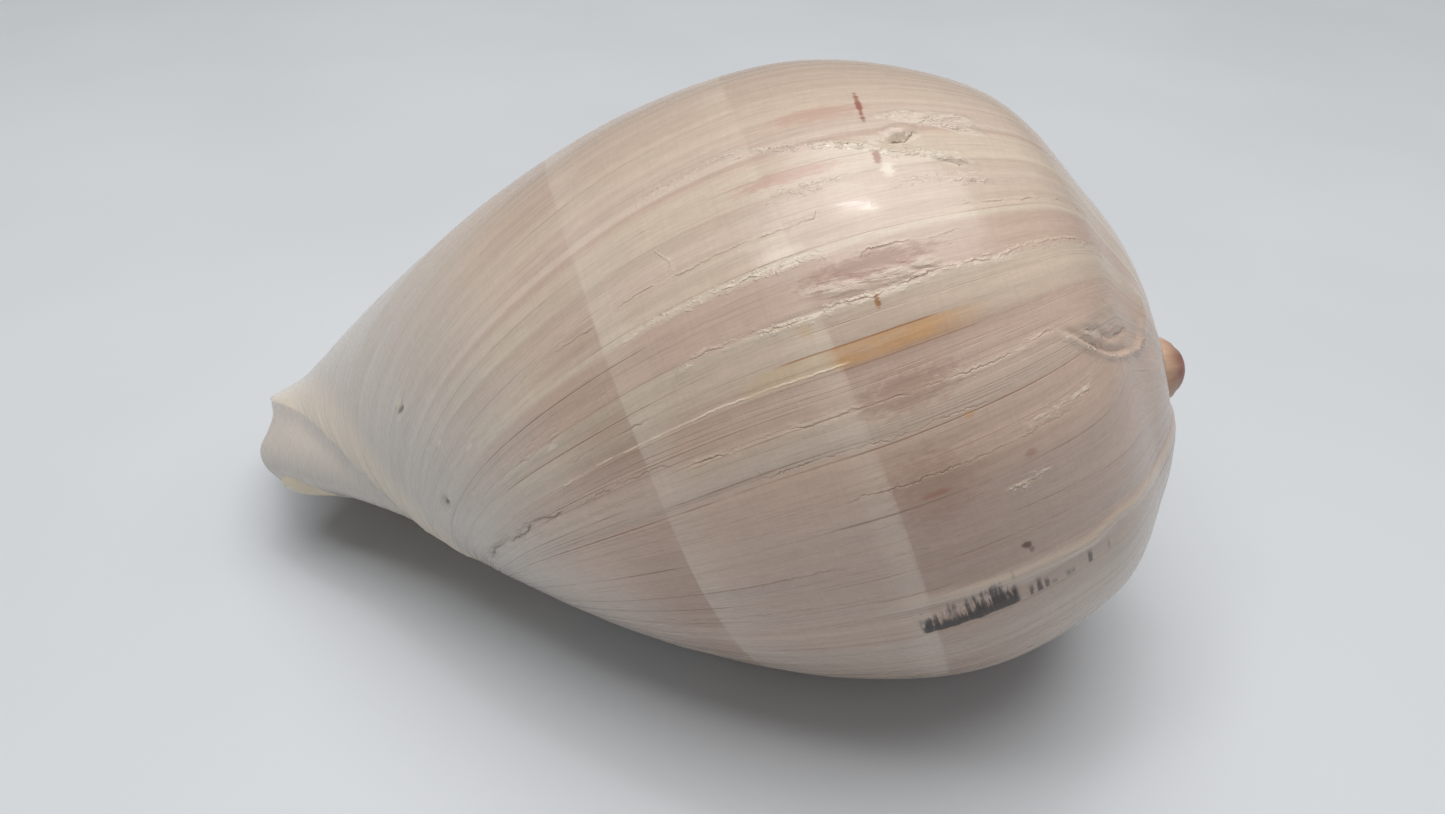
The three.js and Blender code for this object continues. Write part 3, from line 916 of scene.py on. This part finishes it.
# Tint of the shell by growth, which changes at the larger breaks.
TINTS = [
    (-212.0, GREY_BEIGE), (-200.0, MAUVE_BEIGE), (-186.0, MAUVE_BEIGE), (-178.2, PINK_BEIGE),
    (-171.2, PINK_BEIGE), (-170.6, GREY_BEIGE), (-165.8, BEIGE), (-165.2, PINK_BEIGE),
    (-159.4, PINK_BEIGE), (-158.6, YELLOW_CREAM), (-150.8, YELLOW_CREAM), (-150.2, PINK_BEIGE),
    (-143.5, PINK_BEIGE), (-142.4, CREAM), (-137.4, CREAM), (-136.8, PALE_PINK),
    (-131.6, BEIGE), (-131.0, CREAM), (-126.0, CREAM), (-123.2, PINK_BEIGE),
    (-122.6, PALE_PINK), (-112.0, BEIGE),
]

# Small marks: growth, place, radii in degrees of growth and in millimetres along place, colour and strength.
STAMPS = [
    (-165.3, 0.497, 3.4, 8.0, PATCH_BROWN, 0.5),
    (-180.0, 0.498, 7.0, 7.0, PATCH_BROWN, 0.4),
    (-146.4, 0.497, 2.1, 9.5, PATCH_BROWN, 0.8),
    (-128.6, 0.535, 1.6, 8.5, PINK_STAIN, 0.7),
    (-117.0, 0.503, 2.2, 7.0, PINK_STAIN, 0.6),
    (-152.9, 0.5495, 1.3, 1.3, YELLOW_TAN, 0.6),
    (-171.8, 0.463, 0.6, 0.9, ORANGE_TAN, 0.5),
    (-180.7, 0.431, 0.7, 1.2, RUST, 0.35),
    (-181.0, 0.498, 0.6, 2.6, RUST, 0.35),
    (-195.6, 0.449, 1.0, 0.8, SPOT_BROWN, 0.85),
    (-197.2, 0.446, 0.9, 0.5, SPOT_BROWN, 0.5),
    (-229.6, 0.469, 0.6, 0.6, COMB_BROWN, 0.8),
    (-151.9, 0.500, 1.3, 0.45, DEEP_ORANGE, 0.8),
    (-116.4, 0.4757, 4.9, 0.42, RUST, 0.8),
    (-128.8, 0.4745, 1.7, 0.6, RUST, 0.7),
    (-131.6, 0.470, 1.6, 1.0, CHALK_WHITE, 0.85),
    (-112.4, 0.902, 0.8, 0.9, SPOT_BROWN, 0.6),
    (-110.9, 0.899, 0.6, 1.1, CHALK_WHITE, 0.6),
    (-141.1, 0.912, 0.9, 1.0, SPOT_BROWN, 0.5),
    (-131.2, 0.878, 0.5, 1.1, CHALK_WHITE, 0.5),
    (-139.4, 0.845, 0.5, 1.3, CHALK_WHITE, 0.5),
    (-151.6, 0.760, 0.5, 1.3, CHALK_WHITE, 0.5),
]

# Comb-like mark: growth of its foot, its places, and ticks as place, height in degrees and strength.
COMB_GROWTH = -207.4
COMB_PLACES = (0.466, 0.538)
COMB_TICKS = [
    (0.4545, 3.2, 0.7), (0.448, 4.2, 0.8), (0.442, 3.2, 0.7), (0.436, 1.2, 0.4), (0.424, 1.9, 0.5),
    (0.420, 1.6, 0.4), (0.4035, 4.0, 0.7), (0.384, 3.0, 0.3),
]

# Orange stain: the two growth lines that it lies between.
ORANGE_GROWTH = (-159.7, -156.4)

# Millimetres along the outline of the body, rounded.
PLACE_MM = 200.0


def paint_orange_stain(n, g, p, s):
    """Orange stain between two growth lines, yellower towards the front."""
    stain_cloud = n.cloud(g, s, 0.5, 0.13, 33.0, 3.0)
    depth = n.minus(ORANGE_GROWTH[1], g)
    thick = ORANGE_GROWTH[1] - ORANGE_GROWTH[0]
    stain = n.times(n.step(depth, -0.1, 0.12), n.fall(depth, 0.75 * thick, 1.02 * thick))
    stain = n.times(stain, n.step(p, 0.425, 0.48), n.fall(p, 0.57, 0.62))
    stain = n.times(stain, n.step(stain_cloud, 0.3, 0.6, 0.6, 1.0))
    stain_colour = n.mix(n.step(p, 0.533, 0.548), ORANGE_TAN, YELLOW_TAN)
    n.paint(stain_colour, stain, 0.8)
    upper_line = n.times(n.band(depth, -0.15, 0.0, 0.08), n.band(p, 0.478, 0.56, 0.02))
    lower_line = n.times(n.band(n.minus(depth, thick), -0.1, 0.0, 0.08), n.band(p, 0.45, 0.53, 0.015))
    n.paint(DEEP_ORANGE, n.add(upper_line, n.times(lower_line, 0.6)), 0.75)


def paint_breaks(n, g, s):
    """Mended breaks and scar lines: a dark seam, partly real and partly painted shadow, and a pale edge,
    partly pale flakes and partly painted highlight, both ragged, or a thin pale line, partly painted
    highlight. Returns their relief.
    """
    distance, dark, pale = n.attribute("line_marks")
    ragged = n.cloud(g, s, 0.12, 0.5, 61.0, 4.0, 0.68)
    thin = n.fall(dark, -0.3, -0.1)
    seam = n.add(distance, n.times(n.minus(ragged, 0.5), n.minus(1.8, thin)))
    uneven = n.step(n.cloud(g, s, 0.2, 0.20, 65.0, 3.0), 0.38, 0.62, 0.08, 1.0)
    # Unbroken where the darkness is near 1, as in the painted shade of the crevice under the lump, and partly
    # along thin pale lines.
    uneven = n.math("MAXIMUM", uneven, n.math("MAXIMUM", n.step(dark, 0.93, 0.99), n.times(thin, 0.25)))
    # Dark seam: partly the real dark line, partly painted shadow under steps and in grooves.
    seam_dark_and_shade = n.times(n.step(n.math("ABSOLUTE", seam), 0.04, 0.2, 1.0, 0.0), n.math("MAXIMUM", dark, 0.0))
    fleck = n.cloud(g, s, 1.1, 0.7, 67.0, 3.0, 0.65)
    edge = n.times(n.band(seam, 0.12, 0.45, 0.2), n.step(fleck, 0.35, 0.6, 0.25, 1.0))
    thread = n.step(n.math("ABSOLUTE", seam), 0.06, 0.26, 0.85, 0.0)
    loose = n.times(pale, n.minus(1.0, thin))
    # Pale edge and thin pale line: partly pale flakes, partly painted highlight on raised edges.
    seam_pale_and_highlight = n.add(n.times(edge, loose), n.times(thread, thin))
    beside = n.band(seam, -0.9, 1.0, 0.5)
    scuff = n.times(beside, n.step(fleck, 0.52, 0.66), loose)
    specks = n.times(beside, n.fall(fleck, 0.30, 0.37), loose)
    n.paint(CHALK_WHITE, scuff, 0.45)
    n.paint(LINE_TAN, specks, 0.6)
    # Painted highlight and painted shadow of the lines, over their own pale and dark colour.
    n.paint(PALE_LINE_AND_HIGHLIGHT, seam_pale_and_highlight, uneven, 0.8)
    n.paint(UMBER_AND_SHADE, seam_dark_and_shade, uneven, 0.6)
    return (scuff, 0.7), (specks, -0.7), (seam_dark_and_shade, uneven, -0.8), (seam_pale_and_highlight, uneven, 0.9)


def paint_comb(n, g, p, s):
    """Comb-like dark mark above one growth line, with ticks beside it."""
    teeth = n.noise(n.vector(n.times(s, 1.5), n.times(g, 0.16), 81.0), 3.0, 0.7)
    smudge = n.noise(n.vector(n.times(s, 0.3), n.times(g, 0.25), 85.0), 2.0)
    rise = n.minus(g, n.add(COMB_GROWTH, n.times(n.minus(smudge, 0.5), 1.2)))
    tall = n.times(n.step(smudge, 0.35, 0.65, 3.6, 6.0), n.step(teeth, 0.32, 0.68, 0.6, 1.45))
    share = n.math("DIVIDE", rise, n.times(tall, n.step(p, *COMB_PLACES, 1.2, 0.75)))
    inked = n.times(n.band(p, *COMB_PLACES, 0.004), n.step(rise, -0.35, 0.15), n.fall(share, 0.4, 1.1))
    n.paint(COMB_BROWN, inked, n.step(teeth, 0.28, 0.5, 0.75, 0.95))
    for place, height, strength in COMB_TICKS:
        tick = n.band(n.add(p, n.times(n.minus(teeth, 0.5), 0.006)), place - 0.001, place + 0.001, 0.0016)
        tick = n.times(tick, n.step(rise, -0.3, 0.2), n.step(rise, 0.4 * height, height, strength, 0.0))
        n.paint(COMB_BROWN, tick)


def paint_stamps(n, g, s, crumb):
    """Small stains and chips with crumbly edges."""
    here = n.vector(g, s)
    crumble = n.times(n.minus(crumb, 0.5), 2.0)
    for growth, place, along, width, stamp_colour, strength in STAMPS:
        radius = n.distance(here, (growth, place * PLACE_MM), (along, width))
        n.paint(stamp_colour, n.step(n.add(radius, crumble), 0.4, 1.15, strength, 0.0))


def outside_material():
    """Satin outside: growth lines, patches, pale bands, mended breaks, scars and stains."""
    n = Graph("shell_outside")
    g, p, past_lip = n.attribute("growth_place")
    band_1, band_2, chalk = n.attribute("zones")
    s = n.times(p, PLACE_MM)
    front = n.step(p, 0.72, 0.93)

    # Stretches of growth, each with its own tint.
    wander = n.cloud(g, s, 0.23, 0.012, 1.0, 1.0)
    grown = n.add(g, n.times(wander, 2.2))
    wide = n.strip(grown, 5.2)
    narrow = n.strip(grown, 1.35)
    slow = n.cloud(g, s, 0.16, 0.03, 3.0, 2.0)
    stretch = n.cloud(g, s, 0.5, 0.010, 9.0, 3.0, 0.6)
    n.colour = n.ramp(n.add(g, n.times(n.minus(slow, 0.5), 1.5)), TINTS)
    n.paint(PINK_BEIGE, n.white(wide, 3.0), n.step(slow, 0.3, 0.6, 0.15, 0.6))
    n.colour = n.shade(n.colour, n.step(n.white(narrow, 5.0), 0.0, 1.0, 0.97, 1.025))
    n.colour = n.shade(n.colour, n.spread(stretch, 0.955, 1.03))
    n.paint(FRONT_GREY, front, 0.85)

    # Brown patches in front of the first band and behind the second, stronger in some stretches.
    pigment = n.step(n.white(wide, 7.0), 0.15, 0.85, 0.25, 1.0)
    pigment = n.times(pigment, n.step(n.white(narrow, 9.0), 0.0, 1.0, 0.7, 1.0))
    old = n.step(g, -158.5, -149.0, 1.0, 0.5)
    faded = n.step(g, -136.0, -122.0, 1.0, 0.5)
    patch_1 = n.times(n.step(band_1, 0.0, 0.002), n.fall(band_1, 0.015, 0.10))
    behind = n.math("MULTIPLY", n.add(band_2, BAND_2[3]), -1.0)
    patch_2 = n.times(n.step(behind, 0.0, 0.002), n.fall(behind, 0.02, 0.17))
    between = n.times(n.band(band_2, 0.02, 0.09, 0.03), 0.3)
    patches = n.times(n.add(n.add(n.times(patch_1, faded), n.times(patch_2, old)), between), pigment)
    n.paint(MAUVE_BROWN, patches, 0.7)
    paint_orange_stain(n, g, p, s)

    # Pale spiral bands.
    in_1 = n.times(n.step(band_1, -2.4 * BAND_1[3], -0.3 * BAND_1[3]), n.fall(band_1, 0.0, 0.0025))
    in_2 = n.times(n.fall(behind, -0.0025, 0.0), n.fall(band_2, -0.5 * BAND_2[3], 1.4 * BAND_2[3]))
    bands = n.add(n.times(in_1, faded), n.times(in_2, old, faded, 0.8))
    bands = n.times(bands, n.spread(stretch, 0.7, 1.1))
    n.paint(PALE_BAND, bands, 0.27)

    # Fine growth lines, each broken along its length, and faint streaks across them.
    fine = n.noise(n.vector(n.times(grown, 1.6), n.times(s, 0.012), 45.0), 4.0, 0.62)
    crowd = n.add(1.0, n.times(n.band(p, 0.66, 0.80, 0.05), n.band(g, -178.0, -146.0, 5.0), 0.5))
    coarse_lines = n.growth_lines(grown, s, 1.7, 0.14, 11.0)
    fine_lines = n.growth_lines(grown, s, 0.6, 0.11, 13.0)
    crowd = n.times(crowd, n.step(g, -152.0, -128.0, 1.0, 0.5), n.step(p, 0.36, 0.5, 0.55, 1.0))
    hue = n.mix(n.step(n.white(wide, 15.0), 0.3, 0.7), LINE_TAN, LINE_GREY)
    n.paint(hue, n.math("MINIMUM", n.times(fine_lines, crowd, 0.30), 0.6))
    n.paint(hue, n.math("MINIMUM", n.times(coarse_lines, crowd, 0.58), 0.8))
    grain = n.cloud(g, s, 3.4, 0.35, 51.0, 3.0, 0.6)
    n.colour = n.shade(n.colour, n.spread(grain, 0.945, 1.05))
    streak = n.cloud(g, s, 0.16, 1.9, 55.0, 2.0)
    n.colour = n.shade(n.colour, n.spread(streak, 0.978, 1.02))
    breaks = paint_breaks(n, g, s)

    # Pale ridge of the former lip.
    lip_ridge = n.times(n.band(past_lip, -0.7, 0.5, 1.0), n.band(p, *FORMER_LIP_PLACES, 0.05))
    n.paint(CREAM, lip_ridge, n.spread(stretch, 0.25, 0.65))

    # Front end: pale ridge.
    ridge = n.times(n.band(p, 0.975, 1.03, 0.03), n.spread(fine, 0.6, 1.0))
    n.paint(RIDGE_CREAM, ridge, 0.75)

    # Chalky scars.
    crumb = n.cloud(g, s, 1.5, 0.5, 71.0, 4.0, 0.65)
    chalky = n.times(chalk, n.step(crumb, 0.40, 0.62, 0.15, 1.0))
    n.paint(CHALK_WHITE, chalky, 0.5)
    grime = n.times(chalk, n.fall(crumb, 0.30, 0.44), 0.4)
    n.paint(MAUVE_BROWN, grime)
    paint_comb(n, g, p, s)
    paint_stamps(n, g, s, crumb)

    # Relief too fine for the mesh: growth lines, spiral threads, seams and chalk.
    threads = n.cloud(g, s, 0.25, 2.6, 91.0, 1.0)
    worn = n.times(n.band(g, *WORN_BACK), n.fall(p, *WORN_PLACES))
    fade = n.times(n.minus(1.0, n.times(front, 0.6)), n.step(worn, 0.0, 1.0, 1.0, 0.3))
    height = n.times(fine, fade, 0.14)
    for part in (
        (coarse_lines, fade, -0.28), (fine_lines, fade, -0.10), (threads, 0.05), *breaks,
        (chalk, crumb, 1.9),
    ):
        height = n.add(height, n.times(*part))
    roughness = n.add(n.spread(stretch, 0.24, 0.31), n.times(chalky, 0.35))
    n.gloss(0.3, 0.1)
    return n.finish(n.colour, roughness, n.bump(height, 0.16 * MM))


def inside_material():
    """Glossy porcelain inside, warmer away from the lip."""
    n = Graph("shell_inside")
    g, p, _ = n.attribute("growth_place")
    s = n.times(p, PLACE_MM)
    fine = n.cloud(g, s, 0.5, 0.012, 5.0, 3.0)
    cloud = n.cloud(g, s, 0.05, 0.012, 15.0, 2.0)
    away = n.times(n.step(g, -4.0, -75.0), n.band(p, 1.0, 2.1, 0.15))
    n.colour = n.mix(n.step(g, -75.0, -4.0), INSIDE_APRICOT, INSIDE_CREAM)
    n.paint(INSIDE_PALE, away, 0.85)
    n.paint(INSIDE_PEACH, n.step(cloud, 0.35, 0.7))
    colour = n.shade(n.colour, n.spread(fine, 0.95, 1.03))
    roughness = n.spread(fine, 0.17, 0.25)
    return n.finish(colour, roughness, n.bump(fine, 0.12 * MM))


def columella_material():
    """Glossy cream pillar with warmer clouds, and its own cream at the tip."""
    n = Graph("shell_columella")
    u, turn, _ = n.attribute("growth_place")
    cloud = n.noise(n.vector(n.times(u, 0.05), n.times(turn, 3.0), 4.0), 3.0)
    colour = n.mix(n.step(cloud, 0.35, 0.65), PILLAR_CREAM, PILLAR_APRICOT)
    colour = n.mix(n.step(u, 140.0, 172.0), colour, PILLAR_TIP)
    return n.finish(colour, n.spread(cloud, 0.18, 0.28), n.bump(cloud, 0.1 * MM))


def protoconch_material():
    """Brown first whorls, darkest at the tip, with faint streaks."""
    n = Graph("shell_protoconch")
    share, turn, _ = n.attribute("growth_place")
    angle = n.times(turn, 2 * math.pi)
    sine, cosine = n.math("SINE", angle), n.math("COSINE", angle)
    streaks = n.noise(n.vector(n.times(sine, 5.0), n.times(cosine, 5.0), n.times(share, 4.0)), 3.0)
    cloud = n.noise(n.vector(sine, cosine, n.times(share, 0.6)), 2.0)
    tip = n.step(n.add(share, n.times(n.minus(cloud, 0.5), 0.3)), 0.10, 0.42, 1.0, 0.0)
    colour = n.mix(tip, KNOB_TAN, KNOB_BROWN)
    colour = n.shade(colour, n.spread(streaks, 0.88, 1.06))
    return n.finish(colour, n.spread(streaks, 0.3, 0.42), n.bump(streaks, 0.1 * MM))


def join(target, other, operation):
    """Joins or cuts one closed body with another and removes the other."""
    modifier = target.modifiers.new(operation, "BOOLEAN")
    modifier.operation = operation
    modifier.solver = "MANIFOLD"
    modifier.material_mode = "TRANSFER"
    modifier.object = other
    bpy.context.view_layer.objects.active = target
    bpy.ops.object.modifier_apply(modifier=modifier.name)
    bpy.data.objects.remove(other)


def build_shell():
    """The whole shell as one mesh, at rest in the frame."""
    skin = outside_material()
    points, faces, values, smooth_points = make_outside()
    turn = rest_matrix()
    low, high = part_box(NODE)
    flat = smooth_points.reshape(-1, 3) @ turn.T
    knob = np.array([PROTOCONCH_LENGTH - PROTOCONCH_BASE, 0, 0]) @ turn.T
    flat_low, flat_high = np.minimum(flat.min(0), knob), np.maximum(flat.max(0), knob)
    shift = (np.array(low + high) / MM - flat_low - flat_high) / 2
    shift[2] = low.z / MM - flat_low[2] - WORN_DEPTH

    def body(name, points, faces, values, material):
        return make_body(name, (points @ turn.T + shift) * MM, faces, values, material)

    shell = body(NODE + "_surface", points, faces, values, skin)
    join(shell, body("older_turn", *make_older_turn(), skin), "UNION")
    join(shell, body("knob", *make_protoconch(), protoconch_material()), "UNION")
    join(shell, body("hollow", *make_hollow(), inside_material()), "DIFFERENCE")
    join(shell, body("pillar", *make_columella(), columella_material()), "UNION")
    settle(shell.data, low.z)
    return shell, turn, shift


def remove_slivers(mesh):
    """Removes what the joins leave behind: thin faces, and pairs of faces folded onto each other."""
    surface = bmesh.new()
    surface.from_mesh(mesh)
    bmesh.ops.dissolve_degenerate(surface, dist=SLIVER * MM, edges=surface.edges)
    bmesh.ops.triangulate(surface, faces=[face for face in surface.faces if len(face.verts) > 4])
    groups = {}
    for face in surface.faces:
        groups.setdefault(frozenset(face.verts), []).append(face)
    folded = [face for group in groups.values() if len(group) > 1 for face in group]
    bmesh.ops.delete(surface, geom=folded, context="FACES")
    surface.to_mesh(mesh)
    surface.free()


def settle(mesh, floor_height):
    """Wears the shell flat where it meets the floor, and smooths its shading."""
    remove_slivers(mesh)
    co = np.empty(3 * len(mesh.vertices), np.float32)
    mesh.vertices.foreach_get("co", co)
    co[2::3] = np.maximum(co[2::3], floor_height)
    mesh.vertices.foreach_set("co", co)
    mesh.shade_smooth()
    mesh.set_sharp_from_angle(angle=math.radians(SHARP_EDGE))
    mesh.update()


def add_floor():
    """Plain pale floor."""
    n = Graph("floor")
    position = n.node("NewGeometry", {}).outputs["Position"]
    grain = n.node("TexNoise", {"Vector": position, "Scale": FLOOR_GRAIN}).outputs["Fac"]
    colour = n.shade(FLOOR_GREY, n.spread(grain, 0.985, 1.01))
    material = n.finish(colour, n.spread(grain, 0.5, 0.56), n.bump(grain, 0.05 * MM))
    bpy.ops.mesh.primitive_plane_add(size=FLOOR_SIZE, location=(0, 0, 0))
    floor = bpy.context.object
    floor.name = "floor"
    floor.data.materials.append(material)


def add_light(name, position, length, width, power):
    """Soft oblong light that faces the shell."""
    light = bpy.data.lights.new(name, "AREA")
    light.shape = "ELLIPSE"
    light.size = length
    light.size_y = width
    light.energy = power
    lamp = bpy.data.objects.new(name, light)
    bpy.context.scene.collection.objects.link(lamp)
    lamp.location = position
    lamp.rotation_euler = (Vector(LIGHT_AIM) - Vector(position)).to_track_quat("-Z", "Y").to_euler()


def add_camera(turn, shift):
    """Camera at the photograph's view."""
    x, y, z = (math.radians(a) for a in VIEW_TURNS)
    view = np.array(Matrix.Rotation(z, 3, "Z") @ Matrix.Rotation(y, 3, "Y") @ Matrix.Rotation(x, 3, "X"))
    centre = view.T @ (np.array([0, -VIEW_DISTANCE, 0]) - np.array(VIEW_OFFSET))
    right, forward, up = turn @ view.T[:, 0], turn @ view.T[:, 1], turn @ view.T[:, 2]
    matrix = Matrix(np.stack([right, up, -forward], 1).tolist()).to_4x4()
    matrix.translation = Vector((turn @ centre + shift) * MM)
    lens = bpy.data.cameras.new("camera")
    lens.sensor_width = SENSOR
    lens.lens = SENSOR * FOCAL_SHARE
    lens.clip_start = CLIP_START
    camera = bpy.data.objects.new("camera", lens)
    bpy.context.scene.collection.objects.link(camera)
    camera.matrix_world = matrix
    bpy.context.scene.camera = camera


def add_light_rig():
    """Large soft light overhead, two small ones for highlights, a weak fill, and an even surround."""
    for light in LIGHTS:
        add_light(*light)
    world = bpy.data.worlds.new("surround")
    bpy.context.scene.world = world
    world.use_nodes = True
    background = world.node_tree.nodes["Background"]
    background.inputs["Color"].default_value = SURROUND
    background.inputs["Strength"].default_value = SURROUND_STRENGTH


shell, rest_turn, rest_shift = build_shell()
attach(shell, "root")
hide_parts(NODE)
add_floor()
add_light_rig()
add_camera(rest_turn, rest_shift)
bpy.context.scene.view_settings.view_transform = "Standard"
